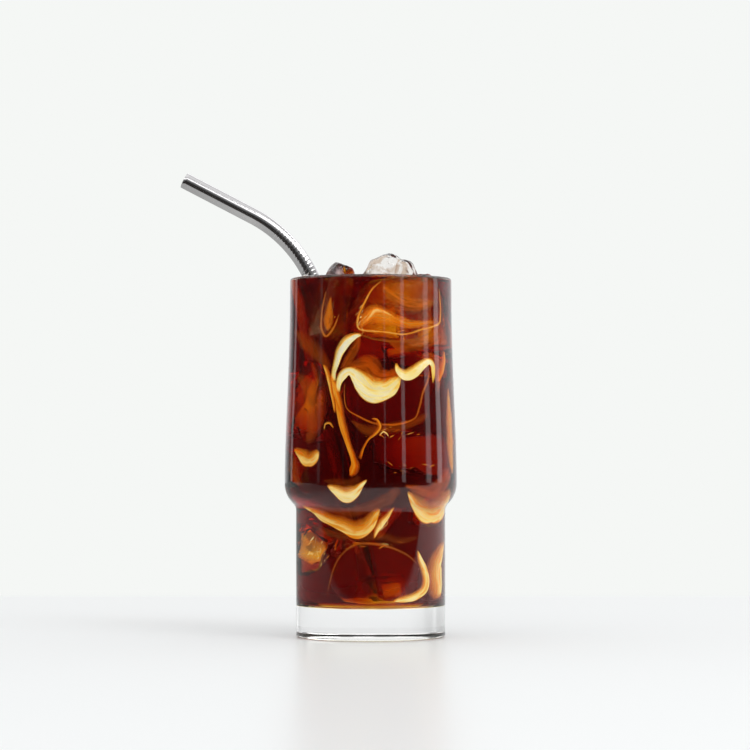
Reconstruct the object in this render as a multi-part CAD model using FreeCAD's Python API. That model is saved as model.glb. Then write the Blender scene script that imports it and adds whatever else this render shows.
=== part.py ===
"""An iced cold brew coffee in a stepped highball glass, with a bent steel straw.

Millimetres, +Z up. The origin is the centre of the glass's flat foot, +X to the drinker's right,
and the drinker looks along +Y. One STEP file is written for each separate piece.
"""
import FreeCAD
import Part

import math
import os

from FreeCAD import Vector

# Glass
GLASS_HEIGHT = 143.0
RIM_RADIUS = 32.3            # outside, at the lip
BELLY_RADIUS = 34.4          # outside, at the widest, just above the shoulder
FOOT_RADIUS = 29.8           # outside, of the straight lower part
WALL = 2.0
FLOOR_THICKNESS = 12.4
SHOULDER_TOP = 61.2          # height at which the belly starts to turn in
SHOULDER_ROUND = 11.5        # outer radius of the convex turn
NECK_ROUND = 4.0             # outer radius of the hollow turn under it
FOOT_EDGE = 1.8              # rounding of the foot's outer edge
FLOOR_CORNER = 3.0           # rounding between the inner wall and the floor
STRAIGHT_LIP = 37.0          # length over which the wall leaves the lip almost straight
STRAIGHT_BELLY = 23.0        # the same, above the shoulder

LIP_ROUND = WALL / 2
LIP_HEIGHT = GLASS_HEIGHT - LIP_ROUND

# Coffee
FILL_BELOW_LIP = 1.2

# Straw
STRAW_DIAMETER = 6.5
STRAW_WALL = 0.5
STRAW_BEND_RADIUS = 53.0
STRAW_BEND_BELOW_LIP = 12.4  # how far under the lip the bend starts
STRAW_UPPER_LEG = 31.0
STRAW_LOWER_RISE = 80.0      # degrees above the horizontal
STRAW_UPPER_RISE = 27.5      # degrees above the horizontal
STRAW_LIP_GAP = 3.1          # between the straw's left side and the inside of the lip
STRAW_PLANE_Y = 3.0
STRAW_SEAT_GAP = 0.1         # between the straw's lowest edge and the glass floor
RIB_COUNT = 15
RIB_PITCH = 1.6
RIB_HEIGHT = 0.16            # how far a rib stands out of the tube
RIB_ROUND = 0.5              # radius of a rib's section
RIBS_BELOW_BEND_TOP = 12.0   # length of plain bend above the first rib

# Ice that stands out of the drink. Each block has its size across, deep and high, the share of
# the width and depth that is left at its top, how much of the narrowing across is on its left,
# its turn about X, Y and Z, and its middle: a bearing from +X, how far in from the mouth's wall
# and how far under the drink's surface. Angles are in degrees.
ICE_WALL_GAP = 0.4
ICE_STRAW_GAP = 0.5
ICE_ROUND = 3.2
ICE_BLOCKS = {
    "ice_front": dict(size=(32.0, 26.0, 27.0), top=(0.66, 0.86), lean=0.9,
                      turn=(4.0, -3.0, -6.0), bearing=-55.7, inset=11.7, sunk=9.4),
    "ice_left": dict(size=(15.0, 13.5, 31.0), top=(0.78, 0.80), lean=0.35,
                     turn=(3.0, 7.0, 30.0), bearing=-123.0, inset=5.7, sunk=6.4),
    "ice_back": dict(size=(24.0, 24.0, 27.0), top=(0.70, 0.74), lean=0.6,
                     turn=(-6.0, 8.0, 24.0), bearing=67.8, inset=13.9, sunk=1.6),
}

MOUTH_RADIUS = RIM_RADIUS - WALL
FILL_HEIGHT = GLASS_HEIGHT - FILL_BELOW_LIP

X_AXIS = Vector(1, 0, 0)
Y_AXIS = Vector(0, 1, 0)
Z_AXIS = Vector(0, 0, 1)


def point(radius, height):
    """A point of a turned profile."""
    return Vector(radius, 0, height)


def line(start, end):
    return Part.LineSegment(start, end).toShape()


def arc(centre, radius, from_deg, to_deg):
    """An arc in the profile's plane. Degrees count from +X towards +Z."""
    mid_deg = (from_deg + to_deg) / 2
    spots = [
        centre + Vector(radius * math.cos(math.radians(d)), 0, radius * math.sin(math.radians(d)))
        for d in (from_deg, mid_deg, to_deg)
    ]
    return Part.Arc(*spots).toShape()


def turned(edges):
    """The solid that a closed profile makes round the Z axis."""
    face = Part.Face(Part.Wire(edges))
    return face.revolve(Vector(0, 0, 0), Z_AXIS, 360)


def shoulder_angle():
    """How far the two turns of the shoulder go, so that they take the belly in to the foot."""
    drop = BELLY_RADIUS - FOOT_RADIUS
    return math.degrees(math.acos(1 - drop / (SHOULDER_ROUND + NECK_ROUND)))


def neck_height():
    """Height at which the shoulder's hollow turn runs out into the straight lower part."""
    return SHOULDER_TOP - (SHOULDER_ROUND + NECK_ROUND) * math.sin(math.radians(shoulder_angle()))


def upper_wall(inset):
    """The belly's side from the shoulder up to the lip's rounding, as one long S curve."""
    low = point(BELLY_RADIUS - inset, SHOULDER_TOP)
    high = point(RIM_RADIUS - inset, LIP_HEIGHT)
    curve = Part.BezierCurve()
    curve.setPoles([
        low,
        low + Z_AXIS * STRAIGHT_BELLY,
        high - Z_AXIS * STRAIGHT_LIP,
        high,
    ])
    return curve.toShape()


def side(inset, start):
    """The wall's profile, from the height start in the straight part up to the lip's rounding.

    inset is how far the profile lies inside the glass's outer face.
    """
    angle = shoulder_angle()
    hollow = NECK_ROUND + inset
    hollow_centre = point(FOOT_RADIUS + NECK_ROUND, neck_height())
    round_centre = point(BELLY_RADIUS - SHOULDER_ROUND, SHOULDER_TOP)
    return [
        line(point(FOOT_RADIUS - inset, start), point(FOOT_RADIUS - inset, neck_height())),
        arc(hollow_centre, hollow, 180, 180 - angle),
        arc(round_centre, SHOULDER_ROUND - inset, -angle, 0),
        upper_wall(inset),
    ]


def cavity(inset, top):
    """The space inside the glass, for a wall of thickness inset.

    Above the lip's rounding it goes straight up, and it is cut off at the height top.
    """
    floor = FLOOR_THICKNESS + inset - WALL
    corner = point(FOOT_RADIUS - inset - FLOOR_CORNER, floor + FLOOR_CORNER)
    mouth = point(RIM_RADIUS - inset, LIP_HEIGHT)
    above = point(mouth.x, 2 * GLASS_HEIGHT)
    space = turned(
        [line(point(0, floor), point(corner.x, floor)), arc(corner, FLOOR_CORNER, -90, 0)]
        + side(inset, corner.z)
        + [line(mouth, above), line(above, point(0, above.z)), line(point(0, above.z), point(0, floor))]
    )
    return space.common(Part.makeCylinder(BELLY_RADIUS, top))


def make_glass():
    """The tumbler: a thick flat foot, a straight lower part, a shoulder and a belly up to a round lip."""
    lip = point(RIM_RADIUS - LIP_ROUND, LIP_HEIGHT)
    edge = point(FOOT_RADIUS - FOOT_EDGE, FOOT_EDGE)
    body = turned(
        [line(point(0, 0), point(edge.x, 0)), arc(edge, FOOT_EDGE, -90, 0)]
        + side(0, FOOT_EDGE)
        + [line(point(RIM_RADIUS, LIP_HEIGHT), point(0, LIP_HEIGHT)), line(point(0, LIP_HEIGHT), point(0, 0))]
    )
    ring = turned([arc(lip, LIP_ROUND, 0, 180), line(lip - X_AXIS * LIP_ROUND, lip + X_AXIS * LIP_ROUND)])
    return body.cut(cavity(WALL, GLASS_HEIGHT)).fuse(ring).removeSplitter()


def straw_path():
    """The straw's centre line as (foot, bend start, bend middle, bend end, tip), and its bend's centre.

    The bend clears the lip by its gap, and the lower leg runs from there down to the glass floor.
    """
    low = math.radians(STRAW_LOWER_RISE)
    high = math.radians(STRAW_UPPER_RISE)
    start_height = GLASS_HEIGHT - STRAW_BEND_BELOW_LIP
    centre_height = start_height - math.cos(low) * STRAW_BEND_RADIUS
    at_lip = math.acos((GLASS_HEIGHT - centre_height) / STRAW_BEND_RADIUS)
    half_width = STRAW_DIAMETER / 2 / math.sin(at_lip)
    mouth_x = math.sqrt(MOUTH_RADIUS ** 2 - STRAW_PLANE_Y ** 2)
    lip_x = half_width + STRAW_LIP_GAP - mouth_x
    centre = Vector(lip_x - math.sin(at_lip) * STRAW_BEND_RADIUS, STRAW_PLANE_Y, centre_height)

    def on_bend(rise):
        return centre + Vector(math.sin(rise), 0, math.cos(rise)) * STRAW_BEND_RADIUS

    bend_start = on_bend(low)
    bend_end = on_bend(high)
    lift = STRAW_DIAMETER / 2 * math.cos(low) + STRAW_SEAT_GAP
    leg = (start_height - FLOOR_THICKNESS - lift) / math.sin(low)
    foot = bend_start + Vector(math.cos(low), 0, -math.sin(low)) * leg
    tip = bend_end + Vector(-math.cos(high), 0, math.sin(high)) * STRAW_UPPER_LEG
    return (foot, bend_start, on_bend((low + high) / 2), bend_end, tip), centre


def straw_rod(radius):
    """A rod of that radius along the straw's centre line."""
    (foot, bend_start, bend_middle, bend_end, tip), _ = straw_path()
    path = Part.Wire([
        line(foot, bend_start),
        Part.Arc(bend_start, bend_middle, bend_end).toShape(),
        line(bend_end, tip),
    ])
    section = Part.Wire(Part.makeCircle(radius, foot, bend_start - foot))
    return path.makePipeShell([section], True, False)


def straw_ribs():
    """The bend's ribs: flat rings on the tube, evenly spaced down the bend."""
    _, centre = straw_path()
    ring_radius = STRAW_DIAMETER / 2 + RIB_HEIGHT - RIB_ROUND
    ribs = []
    for number in range(RIB_COUNT):
        along = RIBS_BELOW_BEND_TOP + number * RIB_PITCH
        rise = math.radians(STRAW_UPPER_RISE) + along / STRAW_BEND_RADIUS
        outward = Vector(math.sin(rise), 0, math.cos(rise))
        down = Vector(math.cos(rise), 0, -math.sin(rise))
        middle = centre + outward * STRAW_BEND_RADIUS
        ribs.append(Part.makeTorus(ring_radius, RIB_ROUND, middle, down))
    return ribs


def make_straw():
    """(the hollow straw, the same without its bore)."""
    full = straw_rod(STRAW_DIAMETER / 2).multiFuse(straw_ribs())
    bore = straw_rod(STRAW_DIAMETER / 2 - STRAW_WALL)
    return full.cut(bore), full


def make_block(size, top, lean, turn, bearing, inset, sunk):
    """A block of ice with rounded edges that narrows towards its top."""
    width, depth, height = size
    less_wide = width * (1 - top[0])
    less_deep = depth * (1 - top[1])
    left = -width / 2 + less_wide * lean
    back = -depth / 2 + less_deep / 2
    # makeWedge narrows along Y, so the block is made lying down and then stood up.
    block = Part.makeWedge(
        -width / 2, -height / 2, -depth / 2, back, left,
        width / 2, height / 2, depth / 2, back + depth - less_deep, left + width - less_wide,
    )
    block = block.makeFillet(ICE_ROUND, block.Edges)
    block.rotate(Vector(0, 0, 0), X_AXIS, 90)
    for axis, degrees in zip((X_AXIS, Y_AXIS, Z_AXIS), turn):
        block.rotate(Vector(0, 0, 0), axis, degrees)
    across = math.radians(bearing)
    from_axis = MOUTH_RADIUS - inset
    block.translate(Vector(
        math.cos(across) * from_axis, math.sin(across) * from_axis, FILL_HEIGHT - sunk))
    return block


def make_ice():
    """The blocks, trimmed to the glass's inside. They give way to the straw, and each to those before it."""
    space = cavity(WALL + ICE_WALL_GAP, 2 * GLASS_HEIGHT).cut(straw_rod(STRAW_DIAMETER / 2 + ICE_STRAW_GAP))
    ice = {}
    for name, block in ICE_BLOCKS.items():
        shape = make_block(**block).common(space).cut(list(ice.values()))
        ice[name] = max(shape.Solids, key=lambda solid: solid.Volume)
    return ice


def make_parts():
    glass = make_glass()
    straw, straw_full = make_straw()
    ice = make_ice()
    coffee = cavity(WALL, FILL_HEIGHT).cut([straw_full, *ice.values()])
    return {"glass": glass, "coffee": coffee, "straw": straw, **ice}


def main():
    os.makedirs("parts", exist_ok=True)
    for name, shape in make_parts().items():
        shape.exportStep(f"parts/{name}.step")
        print(f"{name}: {len(shape.Solids)} solid, {shape.Volume / 1000:.1f} ml, valid {shape.isValid()}")


main()
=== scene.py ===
"""An iced cold brew coffee in a stepped highball glass, with ice, swirls of cream and a steel straw.

Lengths in this file are millimetres until make_piece() turns them into metres. The frame is the CAD
model's: +Z up, the origin under the middle of the glass, and the drinker looks along +Y.
"""
import math

import bpy
import numpy as np
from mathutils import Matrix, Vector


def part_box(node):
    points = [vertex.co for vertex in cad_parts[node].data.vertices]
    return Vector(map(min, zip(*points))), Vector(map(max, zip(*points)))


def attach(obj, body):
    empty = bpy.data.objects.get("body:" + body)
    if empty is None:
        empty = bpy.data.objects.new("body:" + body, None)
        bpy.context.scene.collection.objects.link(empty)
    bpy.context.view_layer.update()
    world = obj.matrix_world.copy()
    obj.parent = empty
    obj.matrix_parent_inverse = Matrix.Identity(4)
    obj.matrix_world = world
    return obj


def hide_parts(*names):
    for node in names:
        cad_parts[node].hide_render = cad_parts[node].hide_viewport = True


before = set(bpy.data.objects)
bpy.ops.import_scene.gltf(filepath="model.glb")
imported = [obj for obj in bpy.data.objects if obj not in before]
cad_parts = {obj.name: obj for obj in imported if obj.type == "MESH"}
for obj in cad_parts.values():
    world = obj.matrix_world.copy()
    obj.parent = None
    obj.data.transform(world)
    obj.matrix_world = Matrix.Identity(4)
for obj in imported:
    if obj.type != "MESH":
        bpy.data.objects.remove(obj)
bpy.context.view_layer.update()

MM = 0.001
BODY = "root"

# Heights and widths that the CAD model gives
GLASS_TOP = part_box("glass")[1][2] / MM
BELLY_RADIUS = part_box("glass")[1][0] / MM
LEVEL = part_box("coffee")[1][2] / MM
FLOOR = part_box("coffee")[0][2] / MM
STRAW_PLANE = (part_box("straw")[0][1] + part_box("straw")[1][1]) / 2 / MM

# The glass's turned outline
RIM_RADIUS = 32.3
FOOT_RADIUS = 29.8
WALL = 2.0
SHOULDER_TOP = 61.2
SHOULDER_ROUND = 11.5
NECK_ROUND = 4.0
FOOT_EDGE = 0.9
FLOOR_CORNER = 3.0
STRAIGHT_LIP = 37.0          # how long the wall keeps its upright run below the lip
STRAIGHT_BELLY = 23.0        # and above the shoulder, as arms of one curve
LIP_ROUND = WALL / 2

# The straw
STRAW_RADIUS = 3.25
STRAW_WALL = 0.5
STRAW_BEND_RADIUS = 53.0
STRAW_BEND_BELOW_LIP = 12.4
STRAW_UPPER_LEG = 31.0
STRAW_RISES = (80.0, 27.5)   # degrees above level, of the lower and the upper leg
STRAW_LIP_GAP = 3.1
STRAW_SEAT_GAP = 0.1         # between the straw's foot and the glass's floor
RIB_COUNT = 15
RIB_PITCH = 1.6
RIB_HEIGHT = 0.03
RIB_HALF_WIDTH = 0.32
RIBS_BELOW_BEND_TOP = 12.0
STRAW_TIP_ROUND = 0.12
STRAW_FOOT_ROUND = 0.08

# Light bending. The drink's volume starts just inside the glass wall without bending light, and the
# glass's wet inner face bends it by as much as glass against water does.
GLASS_IOR = 1.5
DRINK_IOR = 1.333
WET_GLASS_IOR = GLASS_IOR / DRINK_IOR
ICE_IOR = 1.31
SUNK_ICE_IOR = 1.07
NO_BEND_IOR = 1.0
BITE = 0.1                   # how far the drink reaches into the glass wall and floor
FILM = 0.12                  # the thinnest layer of drink between sunk ice and the wall
ICE_WALL_GAP = 0.4           # the same for the ice that stands out of it
ICE_BITE = 0.03              # how far that ice reaches into the drink round it


# ---------------- meshes

def make_piece(name, points, faces, smooth=True):
    """A mesh object at the origin from points in millimetres and a list of each face's corners."""
    mesh = bpy.data.meshes.new(name)
    mesh.from_pydata((np.asarray(points) * MM).tolist(), [], faces)
    mesh.validate()
    if smooth:
        mesh.polygons.foreach_set("use_smooth", np.ones(len(mesh.polygons), dtype=bool))
    mesh.update()
    piece = bpy.data.objects.new(name, mesh)
    bpy.context.scene.collection.objects.link(piece)
    return piece


def grid_faces(rows, columns, closed_rows=False):
    """Quads between neighbouring points of a rows by columns grid, numbered row by row."""
    row = np.arange(rows if closed_rows else rows - 1)
    i, j = np.meshgrid(row, np.arange(columns), indexing="ij")
    next_i = (i + 1) % rows
    next_j = (j + 1) % columns
    here, above = i * columns, next_i * columns
    return np.stack([here + j, here + next_j, above + next_j, above + j], -1).reshape(-1, 4)


def capped_grid(grid, first_pole, last_pole):
    """A grid of closed rows with one point that closes each end: (points, faces)."""
    rows, columns = grid.shape[:2]
    points = np.concatenate([grid.reshape(-1, 3), [first_pole], [last_pole]])
    pole = np.full(columns, rows * columns)
    start = (rows - 1) * columns
    here = np.arange(columns)
    after = (here + 1) % columns
    caps = np.stack([pole, after, here, pole + 1, start + here, start + after], -1)
    return points, grid_faces(rows, columns).tolist() + caps.reshape(-1, 3).tolist()


def join_shapes(shapes):
    """Several (points, faces) as one, with the corner numbers moved along."""
    points, faces, start = [], [], 0
    for some_points, some_faces in shapes:
        points.append(some_points)
        faces.extend([corner + start for corner in face] for face in some_faces)
        start += len(some_points)
    return np.concatenate(points), faces


def inside_out(shape):
    """The shape with its faces turned the other way, for a hollow."""
    points, faces = shape
    return points, [face[::-1] for face in faces]


def face_middles(piece):
    """The middle of each face in millimetres, and its distance from Z."""
    middles = np.empty(len(piece.data.polygons) * 3)
    piece.data.polygons.foreach_get("center", middles)
    middles = middles.reshape(-1, 3) / MM
    return middles, np.hypot(middles[:, 0], middles[:, 1])


def turned(outline, columns=192):
    """The outline (radius, height) carried round Z: x = r cos a, y = r sin a. Its ends on the axis
    are poles."""
    angle = np.arange(columns) * 2 * np.pi / columns
    ring = outline[1:-1]
    height = np.repeat(ring[:, 1:], columns, 1)
    grid = np.stack([ring[:, :1] * np.cos(angle), ring[:, :1] * np.sin(angle), height], -1)
    return capped_grid(grid, (0, 0, outline[0, 1]), (0, 0, outline[-1, 1]))


def smooth_path(points, count):
    """A Catmull-Rom curve through given rows of numbers, sampled evenly by its parameter."""
    points = np.asarray(points, dtype=float)
    padded = np.concatenate([[2 * points[0] - points[1]], points, [2 * points[-1] - points[-2]]])
    place = np.linspace(0, len(points) - 1, count)
    k = np.minimum(place.astype(int), len(points) - 2)
    t = (place - k)[:, None]
    a, b, c, d = (padded[k + i] for i in range(4))
    square, cube = 2 * a - 5 * b + 4 * c - d, 3 * b - a - 3 * c + d
    return 0.5 * (2 * b + (c - a) * t + square * t ** 2 + cube * t ** 3)


def waves(points, size, seed, layers=5):
    """Soft noise about -1 to 1: a mean of sine waves of random direction whose length is near size."""
    rng = np.random.default_rng(int(seed * 10))
    total = np.zeros(points.shape[:-1])
    for _ in range(layers):
        way = rng.normal(size=3)
        way *= 2 * np.pi / (size * rng.uniform(0.6, 1.5)) / np.linalg.norm(way)
        total += np.sin(points @ way + rng.uniform(0, 2 * np.pi))
    return total / math.sqrt(layers)


# ---------------- the glass

def arc(centre, radius, from_deg, to_deg, count):
    """Points on a circle: centre + radius (cos a, sin a), with a from one angle to the other."""
    angle = np.radians(np.linspace(from_deg, to_deg, count))
    return np.stack([centre[0] + radius * np.cos(angle), centre[1] + radius * np.sin(angle)], -1)


def wall_outline(inset):
    """The wall's side from the neck's lower end up to the lip's rounding: a hollow arc, a convex
    arc, then a Bezier curve. inset is how far it lies inside the outer face."""
    drop = BELLY_RADIUS - FOOT_RADIUS
    turn = math.degrees(math.acos(1 - drop / (SHOULDER_ROUND + NECK_ROUND)))
    neck = SHOULDER_TOP - (SHOULDER_ROUND + NECK_ROUND) * math.sin(math.radians(turn))
    hollow = arc((FOOT_RADIUS + NECK_ROUND, neck), NECK_ROUND + inset, 180, 180 - turn, 14)
    shoulder = arc((BELLY_RADIUS - SHOULDER_ROUND, SHOULDER_TOP), SHOULDER_ROUND - inset, -turn, 0, 24)
    t = np.linspace(0, 1, 60)[1:, None]
    low = np.array([BELLY_RADIUS - inset, SHOULDER_TOP])
    high = np.array([RIM_RADIUS - inset, GLASS_TOP - LIP_ROUND])
    up = np.array([0, 1])
    belly = (
        (1 - t) ** 3 * low + 3 * (1 - t) ** 2 * t * (low + up * STRAIGHT_BELLY)
        + 3 * (1 - t) * t ** 2 * (high - up * STRAIGHT_LIP) + t ** 3 * high)
    return np.concatenate([hollow, shoulder[1:], belly])


INNER_WALL = wall_outline(WALL)
INNER_FOOT = FOOT_RADIUS - WALL
CORNER_MIDDLE = (INNER_FOOT - FLOOR_CORNER, FLOOR + FLOOR_CORNER)


def inner_radius(height):
    """Radius of the glass's inside at each height, the rounded floor corner included."""
    straight = np.interp(height, INNER_WALL[:, 1], INNER_WALL[:, 0])
    under = np.clip(CORNER_MIDDLE[1] - height, 0, FLOOR_CORNER)
    corner = CORNER_MIDDLE[0] + np.sqrt(FLOOR_CORNER ** 2 - under ** 2)
    return np.where(height < CORNER_MIDDLE[1], corner, straight)


def inside_outline(grow, floor_points=24):
    """The inside's outline from the floor's middle up to the lip, pushed outwards by grow."""
    middle = np.linspace(0, CORNER_MIDDLE[0], floor_points)[:-1]
    floor = np.stack([middle, np.full_like(middle, FLOOR - grow)], -1)
    corner = arc(CORNER_MIDDLE, FLOOR_CORNER + grow, -90, 0, 12)
    wall = INNER_WALL + np.array([grow, 0])
    lower = np.linspace(corner[-1, 1], wall[0, 1], 14)[1:-1]
    straight = np.stack([np.full_like(lower, INNER_FOOT + grow), lower], -1)
    return np.concatenate([floor, corner, straight, wall])


def make_glass():
    """The tumbler, turned round Z from one closed outline. Its inner face under the level is wet."""
    edge = (FOOT_RADIUS - FOOT_EDGE, FOOT_EDGE)
    underside = np.stack([np.linspace(0, edge[0], 16)[:-1], np.zeros(15)], -1)
    foot = arc(edge, FOOT_EDGE, -90, 0, 12)
    outer = wall_outline(0)
    side = np.linspace(foot[-1, 1], outer[0, 1], 14)[1:-1]
    straight = np.stack([np.full_like(side, FOOT_RADIUS), side], -1)
    lip = arc((RIM_RADIUS - LIP_ROUND, GLASS_TOP - LIP_ROUND), LIP_ROUND, 0, 180, 15)[1:-1]
    inner = inside_outline(0)[::-1]
    outline = np.concatenate([underside, foot, straight, outer, lip, inner])
    points, faces = turned(outline)
    glass = make_piece("glass_clear", points, faces)
    glass.data.materials.append(clear_glass("glass_dry", GLASS_IOR))
    glass.data.materials.append(clear_glass("glass_wet", WET_GLASS_IOR))
    middles, across = face_middles(glass)
    up = middles[:, 2]
    wet = (up > FLOOR - WALL / 4) & (up < LEVEL) & (across < inner_radius(up) + WALL / 4)
    glass.data.polygons.foreach_set("material_index", wet.astype(np.int32))
    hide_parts("glass")
    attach(glass, BODY)


# ---------------- ice

# Blocks of ice: half sizes across, deep and high, the turn about X, Y and Z in degrees, the middle,
# and a seed for the uneven corners. Also how much narrower the top is and how far that leans it, the
# layer of drink kept at the wall, how sharp the edges are, and how strong the ripples are.
SURFACE_ICE = {
    "ice_front": dict(
        half=(16.4, 13.5, 13.0), narrow=0.34, lean=0.3, turn=(4, 9, -6), middle=(11.2, -15.8, 129.6), seed=3,
        sharp=10, uneven=0.55),
    "ice_left": dict(
        half=(6.8, 6.8, 16.6), narrow=0.32, lean=0.6, turn=(3, 11, 24), middle=(-15.0, -20.0, 133.2), seed=11,
        sharp=6, uneven=0.6),
    "ice_back": dict(
        half=(12.8, 12.0, 10.8), narrow=0.42, lean=0.1, turn=(-6, 4, 24), middle=(6.4, 15.2, 142.2), seed=5,
        sharp=4.4, uneven=1.0),
}
SURFACE = dict(film=ICE_WALL_GAP, rows=72, columns=112)
SUNK_ICE = [
    dict(half=(15.5, 8, 9.4), turn=(4, 6, 6), middle=(6.5, -19, 93.6), film=4.0, seed=21),
    dict(half=(14, 15, 8.8), turn=(-5, 8, -14), middle=(14.5, -10, 72.6), film=3.8, seed=22),
    dict(half=(16, 6.2, 12.5), turn=(3, 8, 4), middle=(2.0, -20.5, 25.8), film=2.0, seed=23),
    dict(half=(8, 4.6, 6), turn=(4, -14, 5), middle=(3.5, -7.8, 18.5), seed=36),
    dict(half=(8, 8, 6), turn=(8, -14, 10), middle=(3.5, 18, 18.5), seed=24),
    dict(half=(5.6, 19, 9.6), turn=(8, 26, -8), middle=(-18.6, -2, 36), film=1.6, uneven=1.5, seed=25),
    dict(half=(6.5, 10, 15), turn=(-5, 14, -40), middle=(-21.5, -12.0, 92), film=2.4, uneven=1.4, seed=26),
    dict(half=(7, 8.5, 14), turn=(6, -12, 30), middle=(-15.5, 17, 92), seed=27),
    dict(half=(3.2, 16, 8), turn=(4, 28, 4), middle=(4.5, -8, 47.5), film=1.4, seed=28),
    dict(half=(12, 9, 3.9), turn=(6, 11, 10), middle=(16.0, -10.5, 108.8), film=4.6, uneven=1.2, seed=29),
    dict(half=(9, 13, 8.6), turn=(-4, -16, -6), middle=(2.4, 14.8, 120.2), uneven=1.3, film=0.4, seed=30),
    dict(half=(6, 10.5, 8.2), turn=(-4, -10, 14), middle=(19.4, 12.4, 120.8), uneven=1.3, film=1.2, seed=38),
    dict(half=(4.5, 12, 7), turn=(4, 12, 6), middle=(-26, -3, 67), film=0.5, seed=31),
    dict(half=(7.5, 12, 6.5), turn=(12, 4, 10), middle=(20.5, -8, 52), film=3.4, seed=32),
]
SIDE_TILT = 0.07             # how much the six sides lean at random
CUT_TILT = 0.35              # the same for the four corners that are cut off
CUT_REACH = (0.66, 0.86)     # how far out the corners are cut, as a share of the box's reach
ICE_RIPPLES = ((17, 1.3), (8, 0.6), (4.2, 0.16))    # length and height of each set of waves
NARROW_DEEP = 0.5            # how much a block narrows front to back for each part across


def turn_matrix(degrees):
    """The rotation about X, then Y, then Z."""
    x, y, z = np.radians(degrees)
    about_x = np.array([[1, 0, 0], [0, np.cos(x), -np.sin(x)], [0, np.sin(x), np.cos(x)]])
    about_y = np.array([[np.cos(y), 0, np.sin(y)], [0, 1, 0], [-np.sin(y), 0, np.cos(y)]])
    about_z = np.array([[np.cos(z), -np.sin(z), 0], [np.sin(z), np.cos(z), 0], [0, 0, 1]])
    return about_z @ about_y @ about_x


def ice_shape(
        half, turn, middle, seed, narrow=0.0, lean=0.0, film=FILM, sharp=6, uneven=1.0, grow=0.0,
        rows=40, columns=72):
    """A lump with soft flat sides. In each direction d its surface lies at the distance
    1 / (sum over sides of (d . n / h)^p)^(1/p), where side n stands h from the middle: six sides of
    a box and four random corners cut off. Then it narrows upwards, ripples, and turns."""
    rng = np.random.default_rng(seed)
    half = np.asarray(half, dtype=float)
    v = np.linspace(-np.pi / 2, np.pi / 2, rows + 2)[:, None]
    u = np.arange(columns)[None, :] * 2 * np.pi / columns
    way = np.stack([np.cos(v) * np.cos(u), np.cos(v) * np.sin(u), np.sin(v) + 0 * u], -1)
    box = np.concatenate([np.eye(3), -np.eye(3)]) + rng.normal(scale=SIDE_TILT, size=(6, 3))
    cuts = rng.choice([-1.0, 1.0], size=(4, 3)) + rng.normal(scale=CUT_TILT, size=(4, 3))
    cuts /= np.linalg.norm(cuts, axis=1, keepdims=True)
    cut_reach = np.abs(cuts) @ half * rng.uniform(*CUT_REACH, 4)
    sides = np.concatenate([box, cuts])
    reach = np.concatenate([half, half, cut_reach])
    share = np.maximum(way @ sides.T / reach, 0)
    distance = (share ** sharp).sum(-1) ** (-1 / sharp)
    points = way * distance[..., None]
    for size, depth in ICE_RIPPLES:
        points += way * (waves(points, size, seed + size) * depth * uneven)[..., None]
    up = (points[..., 2] / half[2] + 1) / 2
    points[..., 0] = points[..., 0] * (1 - narrow * up) + lean * narrow * up * half[0]
    points[..., 1] *= 1 - NARROW_DEEP * narrow * up
    points += way * grow
    points = points @ turn_matrix(turn).T + np.asarray(middle, dtype=float)
    points = keep_inside(points, film - grow)
    return capped_grid(points[1:-1], points[0, 0], points[-1, 0])


def keep_inside(points, gap):
    """Points outside the glass's inside, less gap, are drawn straight in to it."""
    points = points.copy()
    points[..., 2] = np.maximum(points[..., 2], FLOOR + gap)
    across = np.hypot(points[..., 0], points[..., 1])
    most = inner_radius(points[..., 2]) - gap
    scale = np.minimum(1, most / np.maximum(across, 1e-6))
    points[..., :2] *= scale[..., None]
    return points


def make_surface_ice():
    """The three blocks that stand out of the drink, each a little larger than its room in it."""
    for name, block in SURFACE_ICE.items():
        ice = make_piece(name + "_clear", *ice_shape(grow=ICE_BITE, **SURFACE, **block))
        ice.data.materials.append(clear_ice(name))
        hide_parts(name)
        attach(ice, BODY)


# ---------------- the drink

CLIMB = 0.45                 # how high the drink climbs at the wall
CLIMB_WIDTH = 1.1            # how soon that dies away from the wall


def drink_outline():
    """The drink's outline: the inside grown into the glass, up to a level that climbs at the wall
    as climb times exp(-distance / width)."""
    wall = inside_outline(BITE)
    wall = wall[wall[:, 1] < LEVEL]
    top = inner_radius(np.array(LEVEL)) + BITE
    across = np.concatenate([top - np.geomspace(0.02, 6, 16), np.linspace(top - 8, 0, 12)])
    height = LEVEL + CLIMB * np.exp(-(top - across) / CLIMB_WIDTH)
    return np.concatenate([wall, [[top, LEVEL + CLIMB]], np.stack([across, height], -1)])


def make_drink():
    """The drink with the room that the ice takes up in it, as one mesh with one volume."""
    drink = make_piece("coffee_drink", *turned(drink_outline(), 160))
    for block in SURFACE_ICE.values():
        room = make_piece("room", *ice_shape(**SURFACE, **block))
        cut = drink.modifiers.new("room", "BOOLEAN")
        cut.operation = "DIFFERENCE"
        cut.solver = "EXACT"
        cut.object = room
        finished = drink.evaluated_get(bpy.context.evaluated_depsgraph_get())
        cut_mesh = bpy.data.meshes.new_from_object(finished)
        drink.modifiers.clear()
        drink.data = cut_mesh
        bpy.data.objects.remove(room)
    points = np.empty(len(drink.data.vertices) * 3)
    drink.data.vertices.foreach_get("co", points)
    shell = points.reshape(-1, 3) / MM, [list(face.vertices) for face in drink.data.polygons]
    sunk = join_shapes([inside_out(ice_shape(**block)) for block in SUNK_ICE])
    bpy.data.objects.remove(drink)
    drink = make_piece("coffee_drink", *join_shapes([shell, sunk]))
    mark_bending(drink, len(shell[1]))
    drink.data.materials.append(coffee_liquid())
    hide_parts("coffee")
    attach(drink, BODY)


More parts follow.
